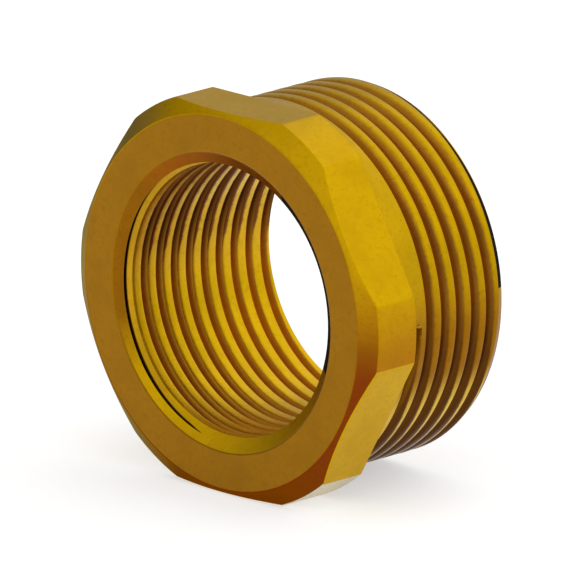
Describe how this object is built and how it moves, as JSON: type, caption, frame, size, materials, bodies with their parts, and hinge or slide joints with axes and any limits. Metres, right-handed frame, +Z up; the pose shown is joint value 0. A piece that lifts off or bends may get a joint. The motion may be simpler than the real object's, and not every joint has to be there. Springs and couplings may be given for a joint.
{
  "type": "hex bushing",
  "caption": "One-piece hexagon bushing that reduces a pipe thread: male thread outside, smaller female thread through the bore.",
  "frame": {"origin": "on the bushing's axis, in the plane of the head's front face", "axes": "+Y along the axis from the head to the end of the male thread, +Z up, square to the top flat of the hexagon the bushing lies on"},
  "size_m": [0.046, 0.0226, 0.043],
  "materials": {
    "machined_brass": "turned and milled brass, left bare"
  },
  "bodies": {
    "root": {"hex_bushing": "machined_brass"}
  },
  "joints": []
}
